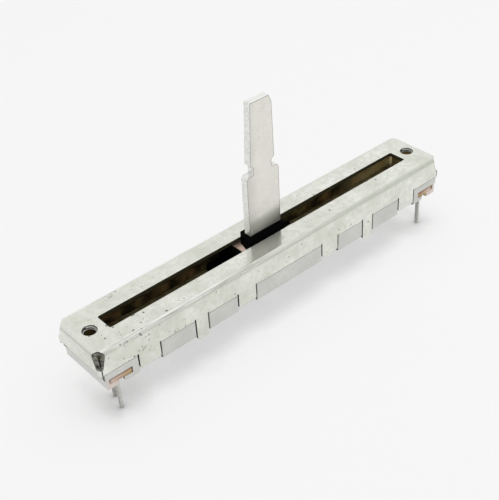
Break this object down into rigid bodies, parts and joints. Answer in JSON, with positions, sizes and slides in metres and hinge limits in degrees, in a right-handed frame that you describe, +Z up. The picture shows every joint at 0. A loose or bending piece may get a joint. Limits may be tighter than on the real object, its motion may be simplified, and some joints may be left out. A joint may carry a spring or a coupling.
{
  "type": "slide potentiometer",
  "caption": "Straight slide potentiometer in a folded steel case, with a flat notched lever that slides along a slot, tapped panel holes and flat solder pins.",
  "frame": {"origin": "on the surface that the terminal tips stand on, under the middle of the case", "axes": "+X along the travel, away from the end with two terminals; +Y across, away from the side with terminals 1 and 3; +Z up, out of the slot"},
  "size_m": [0.086, 0.0128, 0.0438],
  "materials": {
    "cover_steel": "bright plated sheet",
    "case_steel": "duller plated sheet",
    "lever_steel": "satin plated plate",
    "laminate": "brown paper laminate",
    "pale_laminate": "pale insulating strip",
    "carbon_ink": "printed carbon",
    "silver_ink": "printed silver",
    "black_moulding": "black acetal",
    "spring_bronze": "phosphor bronze strip",
    "tinned_terminal": "tinned brass"
  },
  "bodies": {
    "case": {"cover": "cover_steel", "lower_case": "case_steel", "resistor_board": "laminate", "terminal_strip_left": "pale_laminate", "terminal_strip_right": "pale_laminate", "resistive_track": "carbon_ink", "electrode_left": "silver_ink", "electrode_right": "silver_ink", "collector_track": "silver_ink", "terminal_1": "tinned_terminal", "terminal_2": "tinned_terminal", "terminal_3": "tinned_terminal", "terminal_4": "tinned_terminal", "terminal_rivet_1": "tinned_terminal", "terminal_rivet_2": "tinned_terminal", "terminal_rivet_3": "tinned_terminal", "terminal_rivet_4": "tinned_terminal"},
    "slider_unit": {"slider": "black_moulding", "lever": "lever_steel", "wiper": "spring_bronze", "leaf_spring": "spring_bronze"}
  },
  "joints": [
    {"name": "slider_travel", "type": "slide", "parent": "case", "child": "slider_unit", "axis": [1, 0, 0], "range_m": [-0.0293, 0.0307]}
  ]
}
